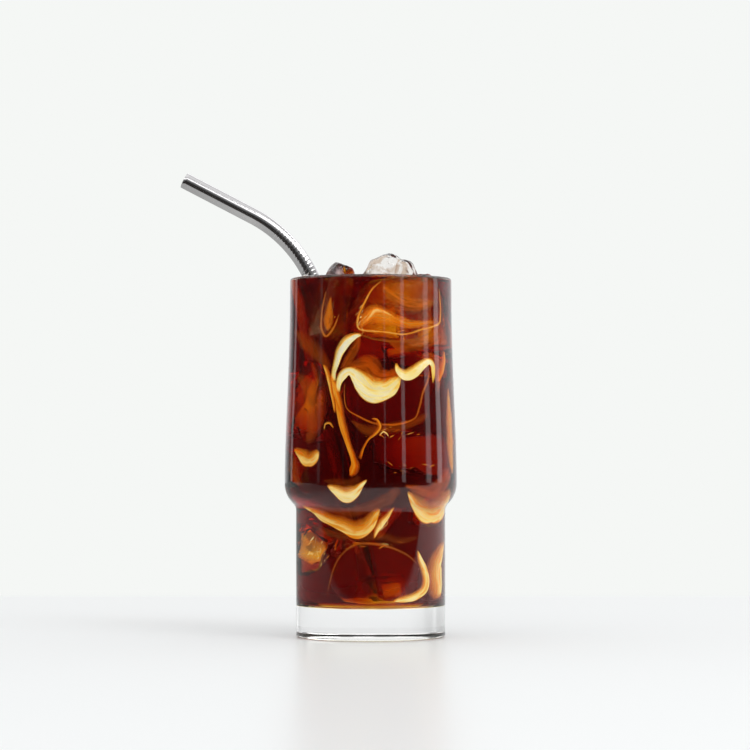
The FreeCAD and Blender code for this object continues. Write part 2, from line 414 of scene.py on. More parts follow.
def mark_bending(drink, shell_faces):
    """Each face's light bending: none at the glass, a liquid's at the level and next to surface
    ice, and nearly none round sunk ice."""
    middles, across = face_middles(drink)
    at_glass = (across > inner_radius(middles[:, 2]) - FILM / 2) | (middles[:, 2] < FLOOR)
    bend = np.where(at_glass, NO_BEND_IOR, DRINK_IOR)
    bend[shell_faces:] = SUNK_ICE_IOR
    mark = drink.data.attributes.new("bend", "FLOAT", "FACE")
    mark.data.foreach_set("value", bend.astype(np.float32))


# ---------------- cream

# Each swirl is a ribbon along the glass wall: how solid it is, how much of its width fades out at
# the upper edge, how much coffee is mixed in, and its rows. A row is its place across and up, as
# seen from the front, its half width, and how deep in the drink its lower and upper edges lie. A row
# without depths keeps those of the row before it. Some ribbons are painted light on the ice, not cream:
# its amber glows, a sparkle, the highlights along its edges and a glint.
CREAM = {
    "ribbon": (1.0, 0.55, 0.0, [
        (-3.6, 119.4, 0.4, 0.5, 1), (-6.6, 118.9, 1.3, 0.15, 0.8), (-9.8, 116.8, 2.1, 0.1, 0.7),
        (-12.1, 113.4, 2.1, 0.1, 0.8), (-13.6, 109.2, 1.5, 0.2, 1), (-14.9, 105, 1.1, 0.6, 1.3),
        (-15.2, 101.4, 1.1, 0.7, 1.4),
    ]),
    "stream": (1.0, 0.6, 0.42, [
        (-15.6, 103.6, 0.5, 0.5, 1), (-14.2, 99, 1.2, 0.5, 1.5), (-13, 94, 1.5, 0.6, 1.8),
        (-12, 88, 1.4, 0.7, 1.8), (-10.4, 81.5, 1.3, 0.8, 2), (-8.6, 76, 1.2, 0.9, 2),
        (-7, 71.2, 1.2, 1.2, 2.2), (-6.2, 68.4, 1.8), (-7.2, 65.8, 1.7, 1.5, 2.5),
        (-8.4, 64.2, 0.6, 2.2, 2.8),
    ]),
    "left_strand": (0.8, 0.7, 0.3, [
        (-19, 108, 0.4, 1, 1.6), (-17.4, 105, 0.8, 0.6, 1.3), (-16.2, 101, 0.9, 0.5, 1.3),
        (-15.2, 95.5, 0.8, 0.8, 1.5), (-14.2, 89, 0.5, 1.2, 1.9),
    ]),
    "loop": (0.75, 0.7, 0.4, [
        (0.4, 86.6, 0.3, 1.4, 1.9), (2.4, 86, 0.6, 0.8, 1.4), (3.4, 83.4, 0.8, 0.7, 1.4),
        (1.6, 80.8, 0.7, 1, 1.7), (-1, 78.6, 0.5, 1.4, 2), (-3.2, 75, 0.6, 1.6, 2.3),
        (-4.6, 71, 0.9, 1.6, 2.4),
    ]),
    "pool": (1.0, 0.4, 0.03, [
        (-13.2, 97, 0.8, 0.8, 1.2), (-12.8, 100.3, 1.2, 0.3, 0.8), (-11, 103.9, 2, 0.1, 0.5),
        (-8, 105.2, 2), (-4.4, 102.6, 3.3, 0.12, 0.7), (0, 98.5, 5, 0.2, 1), (4.8, 97.8, 4.9, 0.22, 0.9),
        (8.9, 100.2, 3.1, 0.4, 0.9), (11.6, 103.2, 0.8, 0.8, 1.1),
    ]),
    "pool_plume": (1.3, 1.0, 0.45, [
        (-9.6, 107.6, 1, 1.9, 2.8), (-5.2, 107.8, 2.6), (-1, 107.4, 4.6), (3.2, 103.4, 4.2),
        (8, 103.4, 2.6), (11.6, 105.6, 1.6),
    ]),
    "right_curl": (1.0, 0.45, 0.06, [
        (10.4, 108.4, 0.5, 1.4, 2), (11.2, 105.6, 1.4, 0.4, 1.1), (14, 104, 2.4, 0.25, 0.9),
        (17.2, 105, 2.4, 0.15, 0.8), (20.4, 107.8, 1.8, 0.1, 0.6), (23, 109.4, 1.4),
        (24.9, 107.8, 1.1, 0.4, 1.1), (25.6, 104, 0.9, 1, 1.9), (25.6, 100.6, 0.4, 1.8, 2.6),
    ]),
    "right_plume": (1.0, 1.0, 0.5, [
        (21, 111.4, 0.5, 1.9, 2.8), (25, 111.6, 1.5), (27.8, 108, 2.2), (28.2, 102, 1.6),
        (27.6, 97, 0.6),
    ]),
    "right_tail": (0.85, 0.7, 0.4, [
        (29.4, 113.6, 0.3, 1, 1.4), (29.2, 109.5, 0.7, 0.6, 1.2), (28.2, 105, 0.9, 0.8, 1.5),
        (27.4, 101, 0.5, 1.6, 2.2),
    ]),
    "left_hook": (0.5, 0.6, 0.1, [
        (-18.6, 82.4, 0.2, 0.8, 1), (-17.9, 84.6, 0.45, 0.2, 0.5), (-16, 84.9, 0.45),
        (-14.8, 83, 0.2, 0.8, 1),
    ]),
    "left_wisp": (0.85, 0.75, 0.2, [
        (-30.4, 75, 0.4, 0.4, 1.2), (-28, 73, 1.6, 0.15, 1), (-25.4, 71, 2.8, 0.12, 1),
        (-23, 71.6, 2.6, 0.12, 0.9), (-21, 74.4, 1, 0.5, 1.2),
    ]),
    "left_cloud": (0.6, 1.0, 0.75, [
        (-32.4, 73, 0.6, 0.8, 1.8), (-31.4, 68, 2, 0.7, 2), (-30.2, 63.6, 1.4, 0.9, 2),
        (-29, 60.6, 0.5, 1.4, 2.2),
    ]),
    "lens": (1.0, 0.6, 0.16, [
        (-17, 60.8, 0.4, 0.2, 0.7), (-14, 59.4, 1.8, 0.15, 0.9), (-10, 57.8, 2.9, 0.12, 1),
        (-6.4, 58.6, 2.5, 0.12, 0.9), (-3.6, 61.2, 1.1, 0.2, 0.7), (-1.6, 63, 0.3, 0.4, 0.6),
    ]),
    "lens_plume": (0.45, 1.0, 0.7, [
        (-19.6, 62.6, 0.4, 1.9, 2.8), (-15, 62.2, 1.6), (-9, 61.8, 2), (-4, 63.8, 1.2),
    ]),
    "swoosh": (1.0, 0.75, 0.3, [
        (-27.6, 53.6, 0.4, 0.3, 0.8), (-23, 51.2, 1.3, 0.15, 1), (-17.4, 48, 2.1, 0.12, 1.2),
        (-11.4, 45.6, 2.8, 0.12, 1.3), (-6, 43.9, 3.9, 0.12, 1.4), (-2.2, 45.2, 3.3, 0.15, 1.2),
        (0.8, 48.6, 2.2, 0.25, 1.2), (3.2, 52.4, 0.9, 0.5, 1.2),
    ]),
    "swoosh_plume": (0.5, 1.0, 0.5, [
        (-26, 54.6, 0.5, 1.9, 2.8), (-18, 52, 1.8), (-10, 50.4, 2.6), (-2, 52.6, 3.2), (6, 55.6, 2.8),
        (12, 59.6, 1.6),
    ]),
    "shard": (0.9, 0.7, 0.15, [
        (1.2, 40, 0.3, 0.5, 0.9), (2.4, 43.4, 1.2, 0.12, 0.9), (4.4, 46.4, 1.5, 0.1, 0.8),
        (6.6, 49, 1, 0.2, 0.9), (9.2, 52.6, 0.3, 0.6, 1),
    ]),
    "fang": (0.95, 0.85, 0.18, [
        (14.6, 58.6, 0.4, 0.3, 0.8), (17, 56, 2.4, 0.15, 1), (20.6, 52.4, 4.1, 0.12, 1.2),
        (24, 50.6, 4.9), (27.4, 52.2, 3.9, 0.15, 1.2), (30.2, 55.2, 2.4, 0.25, 1.2),
        (32.2, 58.6, 1.1, 0.5, 1.2),
    ]),
    "fang_plume": (0.9, 1.0, 0.4, [
        (14, 60.6, 0.5, 1.9, 2.8), (19, 59.4, 1.8), (25, 58.4, 2.6), (30, 61.4, 2.4), (32.4, 66.6, 1.2),
    ]),
    "splash_stem": (1.0, 0.6, 0.15, [
        (18.6, 35, 0.3, 0.4, 0.8), (19.6, 31.6, 0.9, 0.15, 0.7), (21.2, 27.6, 1.2, 0.12, 0.8),
        (22, 23.4, 1.3), (20.8, 19.4, 1.5), (16.6, 17, 1.6, 0.12, 0.9), (12, 16.2, 1.2, 0.2, 0.9),
        (8.8, 15.6, 0.4, 0.5, 0.9),
    ]),
    "splash": (1.0, 0.9, 0.17, [
        (29.4, 38, 0.5, 0.4, 1), (28, 34, 1.6, 0.15, 1), (26.4, 30, 2.3, 0.12, 1), (26, 25, 2.9),
        (26.4, 20, 2.6), (26.8, 15.6, 1.2, 0.4, 0.9),
    ]),
    "edge_streak": (1.7, 1.0, 0.2, [
        (31, 99, 0.4, 0.6, 1.2), (31.6, 90, 1.3, 0.3, 1.2), (32, 80, 1.8, 0.3, 1.4), (32.4, 72, 1.6),
        (32.8, 65, 0.6, 0.6, 1.2),
    ]),
    "cloud_under_front_ice": (1.0, 1.0, 0.5, [
        (6, 117.6, 0.6, 2, 3), (12, 115.2, 2.2, 1.6, 3), (19, 115.6, 2.8), (26, 117.6, 1.8, 1.8, 3),
        (29, 120, 0.6, 2, 3),
    ]),
    "cloud_by_ribbon": (1.0, 1.0, 0.5, [
        (-4.6, 120.4, 0.5, 1.6, 2.4), (-6, 115.6, 2.2, 1.4, 2.8), (-9, 110.4, 2.4),
        (-12, 106, 1.2, 1.8, 2.8),
    ]),
    "cloud_left_high": (0.8, 1.0, 0.6, [
        (-31, 122, 0.6, 1, 2.4), (-26, 116, 2.6, 1, 2.8), (-21, 111.6, 2.6, 1.2, 2.8),
        (-17, 106, 1, 1.6, 2.8),
    ]),
    "cloud_left_low": (0.8, 1.0, 0.6, [
        (-29.6, 104, 0.8, 0.6, 2.4), (-25, 98, 3, 0.9, 2.8), (-23, 90, 3.4, 1, 2.8), (-24, 82, 2.4),
        (-26, 77, 0.8, 1.4, 2.8),
    ]),
    "cloud_mid": (0.7, 1.0, 0.6, [
        (-8, 86, 0.6, 1.6, 2.6), (-2, 82.4, 2.2, 1.4, 2.8), (6, 82.8, 2.4), (16, 84.6, 2, 1.6, 2.8),
        (24, 88.6, 0.8, 1.8, 2.8),
    ]),
    "cloud_low": (0.4, 1.0, 0.9, [
        (-24, 44.6, 0.6, 0.8, 1.4), (-16, 42, 1.6, 0.8, 1.5), (-8, 40.4, 1.6, 0.8, 1.6), (4, 40.8, 1.8),
        (12, 39, 1.6), (20, 40.6, 0.6, 0.8, 1.5),
    ]),
    # painted light on the front ice: its amber glow, then a sparkle
    "front_ice_glow": (1.7, 1.0, 0.38, [
        (-4, 122, 0.6, 0.12, 0.2), (-2.2, 125, 2.6), (1.6, 127.2, 4.4), (7, 126, 3.6), (13, 124, 2.4),
        (19, 123.8, 1.6), (24.6, 125, 0.6),
    ]),
    "front_ice_spark": (1.8, 1.0, 0.1, [
        (-2.6, 123.6, 0.3, 0.14, 0.2), (-0.6, 126.4, 1.2, 0.12, 0.18), (1.6, 128.8, 1.6),
        (4.4, 128.6, 1), (9, 126.6, 0.4, 0.14, 0.2),
    ]),
    "front_ice_smoke": (1.0, 1.0, 0.5, [
        (4.6, 137.8, 0.8, 0.12, 0.2), (8.6, 134.6, 2.6), (14, 132, 3.4), (20, 131.4, 2.6),
        (25.6, 132.6, 0.8),
    ]),
    # painted amber glow on the left ice
    "left_ice_glow": (1.5, 1.0, 0.4, [
        (-15.8, 134.4, 0.3, 0.12, 0.2), (-16.4, 129.6, 1.4), (-16.8, 124.6, 1.9), (-17.2, 121, 0.6),
    ]),
    # painted highlight along the front ice's edge
    "front_ice_edge_painted_highlight": (1.6, 1.0, 0.2, [
        (4.4, 140.6, 0.15, 0.1, 0.14), (0.2, 136.6, 0.45), (-2.8, 131, 0.5), (-4.9, 126.2, 0.6),
        (-5, 122.4, 0.5), (-2.4, 121, 0.4), (5.5, 120.4, 0.35), (13.3, 119.6, 0.4), (20, 121.6, 0.4),
        (26.4, 123.8, 0.4), (27.6, 127, 0.3), (27.5, 133, 0.25), (27, 138.6, 0.15),
    ]),
    "front_ice_ledge": (0.35, 0.9, 0.6, [
        (-4.6, 119.8, 0.2, 0.3, 0.5), (0.5, 118, 0.5, 0.3, 0.6), (8, 117, 0.6, 0.3, 0.7),
        (16, 117.6, 0.6), (24, 120.6, 0.3, 0.3, 0.5),
    ]),
    # painted highlight along the left ice's edge
    "left_ice_edge_painted_highlight": (1.2, 1.0, 0.36, [
        (-17.6, 137, 0.15, 0.1, 0.14), (-19.2, 128.6, 0.3), (-19.4, 122, 0.45, 0.1, 0.16),
        (-17.4, 119, 0.5), (-14.4, 122.6, 0.4, 0.1, 0.14), (-12.4, 127.4, 0.2),
    ]),
    # painted highlight along the middle sunk ice's edge
    "mid_ice_edge_painted_highlight": (1.1, 1.0, 0.36, [
        (23.6, 106, 0.15, 0.8, 1.2), (22.8, 101.8, 0.3, 0.5, 0.9), (20.6, 96.2, 0.35),
        (19.4, 91, 0.35, 0.6, 1), (17.2, 86.6, 0.3), (10, 84.4, 0.5, 0.8, 1.6), (2, 84.8, 0.6, 0.8, 1.8),
        (-4.6, 87.4, 0.4, 0.7, 1.2), (-9.4, 90.6, 0.25, 0.5, 0.9), (-10.4, 95.4, 0.2, 0.4, 0.8),
        (-10.2, 100.6, 0.12, 0.4, 0.7),
    ]),
    # painted highlight along the low sunk ice's edge
    "low_ice_edge_painted_highlight": (1.0, 1.0, 0.5, [
        (-17.6, 17, 0.2, 0.5, 1), (-15, 27.6, 0.4, 0.4, 1), (-11.4, 34, 0.5, 0.4, 1.2),
        (-4.8, 38, 0.6, 0.4, 1.3), (5.4, 37.2, 0.6), (14, 33.8, 0.5, 0.4, 1.2), (18.6, 30, 0.3, 0.5, 1),
    ]),
    # a painted glint on the ice
    "glint": (0.9, 0.4, 0.25, [
        (3.4, 80, 0.15, 0.2, 0.3), (4.8, 81.6, 0.3, 0.15, 0.25), (6.2, 81, 0.3),
        (7, 79.8, 0.12, 0.2, 0.3),
    ]),
}


def wall_angle(across, up):
    """The bearing on the glass's inner wall of what is seen at a place across, from far in front:
    the sight line bends at the outer face, asin(a / R) to asin(a / nR), and meets the inner face at
    asin(a / nr)."""
    inner = inner_radius(up)
    outer = inner + WALL
    across = np.clip(across, -0.99 * outer, 0.99 * outer)
    enter = np.arcsin(across / outer)
    bent = np.arcsin(across / outer / GLASS_IOR)
    meet = np.arcsin(across / inner / GLASS_IOR)
    return enter + meet - bent


def full_rows(rows):
    """The rows of a ribbon with the depths that were left out filled in."""
    filled = [rows[0]]
    for row in rows[1:]:
        filled.append(row + filled[-1][len(row):])
    return filled


# How much a ribbon's half width and its middle sway, how its section bends inwards, the height of
# its ripples at most and as a share of its half width, its least depth, and the share over which it
# fades at a crisp lower edge, at a soft one and at its ends
WIDTH_SWAY, SIDE_SWAY = 0.07, 0.05
SECTION_BEND = 2.4
RIPPLE_MOST, RIPPLE_SHARE = 0.16, 0.12
LEAST_DEPTH = 0.08
CRISP_FADE, SOFT_FADE, END_FADE = 0.12, 1.6, 0.1
WIDEST_TURN = 2.6            # the most a ribbon widens where the wall turns away


def cream_shape(seed, body, soft, rows, count=84, around=24):
    """A ribbon whose section is a flat lens: across = half width times cos t along the wall, and the
    depth runs from the lower edge's to the upper edge's as ((1 + cos t) / 2)^bend, plus a thickness
    times 1 - sin t. The thickness is 0.1 and a tenth of the half width, and less where the ribbon is
    narrow. It is wrapped on the glass's inner wall. Gives points, faces, how solid each point is, and
    its place along and across the ribbon."""
    path = smooth_path(full_rows(rows), count)
    across, up, half, low_depth, high_depth = path.T
    arm = inner_radius(up) * wall_angle(across, up)
    along = np.stack([np.gradient(arm), np.gradient(up)], -1)
    step = np.linalg.norm(along, axis=1, keepdims=True)
    along /= step
    length = np.cumsum(step)
    normal = np.stack([-along[:, 1], along[:, 0]], -1)
    normal *= np.sign(along[:, 0].sum())
    t = np.arange(around) * 2 * np.pi / around
    trail = np.stack([arm, up, 0 * up], -1)
    turned_away = np.minimum(1 / np.cos(wall_angle(across, up)), WIDEST_TURN)
    half = half * (1 + np.abs(normal[:, 0]) * (turned_away - 1))
    half = np.maximum(half * (1 + WIDTH_SWAY * waves(trail, 9, seed)), 0.05)[:, None]
    side = half * np.cos(t) + SIDE_SWAY * half * waves(trail, 6, seed + 1)[:, None]
    place = arm[:, None] + side * normal[:, :1]
    height = up[:, None] + side * normal[:, 1:]
    rise = (1 + np.cos(t)) / 2
    depth = low_depth[:, None] + (high_depth - low_depth)[:, None] * rise ** SECTION_BEND
    flow = np.stack([length[:, None] + 0 * side, side, seed * 9.0 + 0 * side], -1)
    ripple = waves(flow * (0.3, 1.2, 1), 3.5, seed + 2)
    depth += np.clip(ripple, 0, 2) * np.minimum(RIPPLE_MOST, RIPPLE_SHARE * half)
    thick = np.minimum(0.1 + 0.1 * half, 0.3 * half + 0.02)
    depth = np.maximum(depth + thick * (1 - np.sin(t)), LEAST_DEPTH)
    radius = inner_radius(height)
    angle = place / radius
    away = radius - depth
    grid = np.stack([away * np.sin(angle), -away * np.cos(angle), height], -1)
    points, faces = capped_grid(grid, grid[0].mean(0), grid[-1].mean(0))
    upper = np.clip((1 - np.cos(t)) / (2 * soft), 0, 1)
    lower = np.clip((1 + np.cos(t)) / (CRISP_FADE if soft < 0.95 else SOFT_FADE), 0, 1)
    from_end = np.minimum(np.arange(count), np.arange(count)[::-1])
    ends = np.clip(from_end / (END_FADE * count), 0, 1)[:, None]
    solid = body * ends ** 0.5 * (upper * lower)[None, :]
    solid = np.concatenate([solid.ravel(), [0, 0]])
    flow = np.concatenate([flow.reshape(-1, 3), flow[0, :1], flow[-1, :1]])
    return points, faces, solid, flow


# Where the ice is crazed with fine cracks, drawn as small glowing marks that are partly real crazing and
# partly painted glints: the middle across and up, the spread, how many, how much coffee is mixed in,
# and the way they lie in degrees from level.
CRACKS = [
    (-21.0, 35.2, 3.6, 6.4, 34, 0.2, 62), (-3.2, 125.6, 2.4, 6.4, 26, 0.16, 68),
    (9.0, 121.4, 9.0, 1.6, 14, 0.45, 8), (4.8, 46.4, 2.6, 5.0, 14, 0.2, 52),
    (-15.0, 123.0, 1.6, 3.4, 7, 0.6, 70), (10.0, 80.6, 12.0, 2.4, 14, 0.5, 15),
    (24.0, 126.0, 3.0, 7.0, 8, 0.7, 80), (0.0, 37.6, 13.0, 2.0, 16, 0.65, 5),
    (14.0, 67.0, 8.0, 3.0, 9, 0.6, 20),
]
CRACK_SWAY = 24              # degrees
CRACK_LENGTH = (0.3, 1.8)
CRACK_WIDTH = (0.08, 0.24)
CRACK_DEPTH = (0.1, 0.3)
CRACK_BODY = (1.0, 3.2)
CRACK_MIX = (-0.2, 0.2)
CRACK_TIP = 0.03
CRACK_THICKNESS = 0.05


def crack_rows(rng, middle, height, spread, rise, way):
    """One fine crack as three rows of a ribbon."""
    across, up = rng.normal(size=2) * (spread / 2, rise / 2) + (middle, height)
    turn = math.radians(way + rng.normal(scale=CRACK_SWAY))
    length = rng.uniform(*CRACK_LENGTH)
    wide = rng.uniform(*CRACK_WIDTH)
    depth = rng.uniform(*CRACK_DEPTH)
    step = np.array([math.cos(turn), math.sin(turn)]) * length
    ends = [(across - step[0], up - step[1]), (across, up), (across + step[0], up + step[1])]
    halves = (CRACK_TIP, wide, CRACK_TIP)
    return [(x, z, half, depth, depth + CRACK_THICKNESS) for (x, z), half in zip(ends, halves)]


def make_cream():
    """All swirls, the painted glows, edge highlights and glint on the ice, and the fine cracks with their
    painted glints, as one piece that rides in the drink.
    """
    shapes = [
        (cream_shape(40 + 3 * i, body, soft, rows), mixed)
        for i, (body, soft, mixed, rows) in enumerate(CREAM.values())]
    rng = np.random.default_rng(7)
    for middle, height, spread, rise, count, mixed, way in CRACKS:
        for _ in range(count):
            rows = crack_rows(rng, middle, height, spread, rise, way)
            crack = cream_shape(7, rng.uniform(*CRACK_BODY), 1.0, rows, count=5, around=6)
            shapes.append((crack, mixed + rng.uniform(*CRACK_MIX)))
    cream = make_piece("cream_swirls_and_painted_ice_light", *join_shapes([shape[:2] for shape, _ in shapes]))
    marks = cream.data.attributes
    marks.new("solid", "FLOAT", "POINT").data.foreach_set(
        "value", np.concatenate([shape[2] for shape, _ in shapes]))
    marks.new("mixed", "FLOAT", "POINT").data.foreach_set(
        "value", np.concatenate([np.full(len(shape[0]), mixed) for shape, mixed in shapes]))
    marks.new("flow", "FLOAT_VECTOR", "POINT").data.foreach_set(
        "vector", np.concatenate([shape[3] for shape, _ in shapes]).ravel())
    cream.data.materials.append(cream_stuff())
    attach(cream, BODY)


# ---------------- the straw

def straw_line():
    """The centre line from the foot to the tip: a straight leg, an arc and a straight leg. Gives
    the points, their directions and the length along them."""
    low, high = np.radians(STRAW_RISES)
    start = GLASS_TOP - STRAW_BEND_BELOW_LIP
    centre_z = start - math.cos(low) * STRAW_BEND_RADIUS
    at_lip = math.acos((GLASS_TOP - centre_z) / STRAW_BEND_RADIUS)
    mouth = math.sqrt((RIM_RADIUS - WALL) ** 2 - STRAW_PLANE ** 2)
    lip_x = STRAW_RADIUS / math.sin(at_lip) + STRAW_LIP_GAP - mouth
    centre_x = lip_x - math.sin(at_lip) * STRAW_BEND_RADIUS
    lift = STRAW_RADIUS * math.cos(low) + STRAW_SEAT_GAP
    leg = (start - FLOOR - lift) / math.sin(low)
    bend = STRAW_BEND_RADIUS * (low - high)
    length = np.concatenate([
        np.linspace(0, leg, 30)[:-1], leg + np.linspace(0, bend, 420),
        leg + bend + np.linspace(0, STRAW_UPPER_LEG, 30)[1:]])
    rise = low - np.clip(length - leg, 0, bend) / STRAW_BEND_RADIUS
    before = np.minimum(length - leg, 0)
    after = np.maximum(length - leg - bend, 0)
    way = np.stack([-np.cos(rise), 0 * rise, np.sin(rise)], -1)
    out = np.stack([np.sin(rise), 0 * rise, np.cos(rise)], -1)
    centre = np.array([centre_x, STRAW_PLANE, centre_z])
    points = centre + out * STRAW_BEND_RADIUS + way * (before + after)[:, None]
    return points, way, out, length, leg + bend


def straw_tube(radius):
    """Rings round the centre line, as a grid of points: line + radius (out cos a + level sin a)."""
    points, _, out, length, _ = straw_line()
    angle = np.arange(64) * 2 * np.pi / 64
    level = np.array([0.0, 1.0, 0.0])
    spoke = out[:, None] * np.cos(angle)[None, :, None] + level * np.sin(angle)[None, :, None]
    return points[:, None] + spoke * np.broadcast_to(radius, length.shape)[:, None, None]


def make_straw():
    """The steel tube: an outer face with rings on its bend, a bore, and a rounded cut at each end.
    A ring's height is 1 - (distance / half width) squared."""
    _, way, _, length, bend_top = straw_line()
    below = bend_top - length - RIBS_BELOW_BEND_TOP
    nearest = np.clip(np.round(below / RIB_PITCH), 0, RIB_COUNT - 1) * RIB_PITCH
    ring = np.clip(1 - ((below - nearest) / RIB_HALF_WIDTH) ** 2, 0, 1)
    outer = straw_tube(STRAW_RADIUS + RIB_HEIGHT * ring)
    bore = straw_tube(STRAW_RADIUS - STRAW_WALL)
    middle = (outer + bore) / 2
    tip = middle[-1] + way[-1] * STRAW_TIP_ROUND
    foot = middle[0] - way[0] * STRAW_FOOT_ROUND
    grid = np.concatenate([outer, [tip], bore[::-1], [foot]])
    rows, columns = grid.shape[:2]
    faces = grid_faces(rows, columns, closed_rows=True)[:, ::-1].tolist()
    straw = make_piece("straw_steel", grid.reshape(-1, 3), faces)
    straw.data.materials.append(polished_steel())
    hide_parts("straw")
    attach(straw, BODY)


# ---------------- materials

class Tree:
    """The nodes of a material or of the world, with short ways to add and link them."""

    def __init__(self, tree):
        self.nodes = tree.nodes
        self.links = tree.links
        self.nodes.clear()

    def put(self, value, socket):
        """Links a socket to this one, or sets it to a number, a colour or a direction."""
        if isinstance(value, bpy.types.NodeSocket):
            self.links.new(value, socket)
        elif socket.type == "RGBA":
            socket.default_value = (*value, 1)
        else:
            socket.default_value = value

    def fill(self, node, inputs):
        """Puts each value in the node's input of that name."""
        for name, value in inputs.items():
            self.put(value, node.inputs[name])

    def add(self, kind, inputs=None):
        """A new node with its inputs filled."""
        node = self.nodes.new("ShaderNode" + kind)
        self.fill(node, inputs or {})
        return node

    def place(self):
        """The place on the object, in metres."""
        return self.add("TexCoord").outputs["Object"]

    def axes(self, vector):
        """A vector's X, Y and Z."""
        outputs = self.add("SeparateXYZ", {"Vector": vector}).outputs
        return [outputs[axis] for axis in "XYZ"]

    def attribute(self, name, output="Fac"):
        """A mark that the mesh carries."""
        node = self.add("Attribute")
        node.attribute_name = name
        return node.outputs[output]

    def math(self, operation, *values):
        """The result of a Math node with each input a number or a socket."""
        node = self.add("Math")
        node.operation = operation
        for socket, value in zip(node.inputs, values):
            self.put(value, socket)
        return node.outputs["Value"]

    def times(self, first, second):
        """The product of two numbers or sockets."""
        return self.math("MULTIPLY", first, second)

    def step(self, source, start, end):
        """0 up to start, 1 from end on, smooth between."""
        node = self.add("MapRange")
        node.interpolation_type = "SMOOTHSTEP"
        self.fill(node, {"Value": source, "From Min": start, "From Max": end})
        return node.outputs["Result"]

    def noise(self, vector, scale, stretch=(1, 1, 1), detail=4.0, distortion=0.0):
        """Noise along a stretched vector, as a grey."""
        stretched = self.add("Mapping", {"Vector": vector, "Scale": stretch}).outputs["Vector"]
        inputs = {"Vector": stretched, "Scale": scale, "Detail": detail, "Distortion": distortion}
        return self.add("TexNoise", inputs).outputs["Fac"]

    def ramp(self, source, stops):
        """A smooth ramp from pairs of a place and a colour."""
        node = self.add("ValToRGB", {"Fac": source})
        node.color_ramp.interpolation = "EASE"
        while len(node.color_ramp.elements) < len(stops):
            node.color_ramp.elements.new(0.5)
        for element, (place, tone) in zip(node.color_ramp.elements, stops):
            element.position = place
            element.color = (*tone, 1)
        return node.outputs["Color"]

    def mix_colour(self, share, first, second):
        """A colour between two."""
        node = self.add("Mix")
        node.data_type = "RGBA"
        self.fill(node, {"Factor": share, "A": first, "B": second})
        return node.outputs["Result"]

    def mix_shader(self, share, first, second):
        """A shader between two."""
        node = self.add("MixShader")
        for socket, value in zip(node.inputs, (share, first, second)):
            self.put(value, socket)
        return node.outputs["Shader"]

    def bump(self, height, strength, distance):
        """The surface's direction where fine relief turns it."""
        inputs = {"Height": height, "Strength": strength, "Distance": distance}
        return self.add("Bump", inputs).outputs["Normal"]


def new_material(name):
    """A material, its nodes, its output and one Principled shader."""
    material = bpy.data.materials.new(name)
    material.use_nodes = True
    tree = Tree(material.node_tree)
    return material, tree, tree.add("OutputMaterial"), tree.add("BsdfPrincipled")


WATER_WHITE = (1, 1, 1)
GLASS_SHADE = (0.97, 0.97, 0.97)


def see_through(tree, output, shader, ior, shade=GLASS_SHADE):
    """Makes the shader clear. Lamp light passes with a tint, in place of a hard black shadow."""
    tree.fill(shader, {"Roughness": 0.0, "Transmission Weight": 1.0, "IOR": ior})
    lamp_ray = tree.add("LightPath").outputs["Is Shadow Ray"]
    passed = tree.add("BsdfTransparent", {"Color": shade}).outputs["BSDF"]
    surface = tree.mix_shader(lamp_ray, shader.outputs["BSDF"], passed)
    tree.put(surface, output.inputs["Surface"])


def clear_glass(name, ior):
    """Water-white glass with a polished face."""
    material, tree, output, shader = new_material(name)
    tree.fill(shader, {"Base Color": WATER_WHITE})
    see_through(tree, output, shader, ior)
    return material


# The ice above the drink: its lightest and its most coffee-stained tint at a face, and how much
# of it is stained
ICE_STAINS = {
    "ice_front": ((0.9, 0.72, 0.55), (0.42, 0.2, 0.09), 0.55),
    "ice_left": ((0.96, 0.78, 0.78), (0.6, 0.36, 0.37), 0.5),
    "ice_back": ((0.95, 0.92, 0.9), (0.5, 0.34, 0.24), 0.48),
}
STAIN_EDGE = 0.05
SUNK_ICE_TINT = (0.98, 0.975, 0.97)


def clear_ice(name):
    """Clear ice with an uneven surface, stained by the drink in soft patches where it stands out."""
    material, tree, output, shader = new_material(name)
    light_tint, dark_tint, stained = ICE_STAINS[name]
    place = tree.place()
    cloud = tree.noise(place, 95.0, distortion=0.8)
    patches = tree.step(cloud, stained + STAIN_EDGE, stained - STAIN_EDGE)
    stain = tree.mix_colour(patches, light_tint, dark_tint)
    out = tree.step(tree.axes(place)[2], (LEVEL - 1.5) * MM, (LEVEL + 1) * MM)
    tree.fill(shader, {
        "Base Color": tree.mix_colour(out, SUNK_ICE_TINT, stain),
        "Normal": tree.bump(tree.noise(place, 150.0), 0.6, 0.0012)})
    see_through(tree, output, shader, ICE_IOR)
    return material


# What the drink leaves of red, green and blue light, and how fast, for each metre
COFFEE_KEEPS = (0.929, 0.757, 0.0)
COFFEE_DENSITY = 750.0
COFFEE_SHADE = (0.64, 0.6, 0.53)


def coffee_liquid():
    """Clear liquid that takes up blue most, green less and red least on the light's way through."""
    material, tree, output, shader = new_material("coffee")
    ripples = tree.noise(tree.place(), 260.0, detail=5.0)
    tree.fill(shader, {"Base Color": WATER_WHITE, "Normal": tree.bump(ripples, 0.5, 0.0005)})
    see_through(tree, output, shader, DRINK_IOR, COFFEE_SHADE)
    tree.put(tree.attribute("bend"), shader.inputs["IOR"])
    volume = tree.add("VolumeAbsorption", {"Color": COFFEE_KEEPS, "Density": COFFEE_DENSITY})
    tree.put(volume.outputs["Volume"], output.inputs["Volume"])
    return material


# Cream by how much coffee is in it
CREAM_TONES = [
    (0.0, (0.84, 0.9, 0.95)), (0.12, (0.98, 0.94, 0.66)), (0.26, (0.94, 0.74, 0.32)),
    (0.48, (0.8, 0.36, 0.045)), (0.7, (0.72, 0.2, 0.008)), (1.0, (0.3, 0.085, 0.012)),
]
# painted light: all cream glows this much in its own colour, standing in for the light that reaches it
# through the glass and the coffee
CREAM_PAINTED_GLOW = 0.38
STREAK_MIX = 0.3             # how much more coffee is in the streaks
EDGE_MIX = 0.3               # and at the thin edges


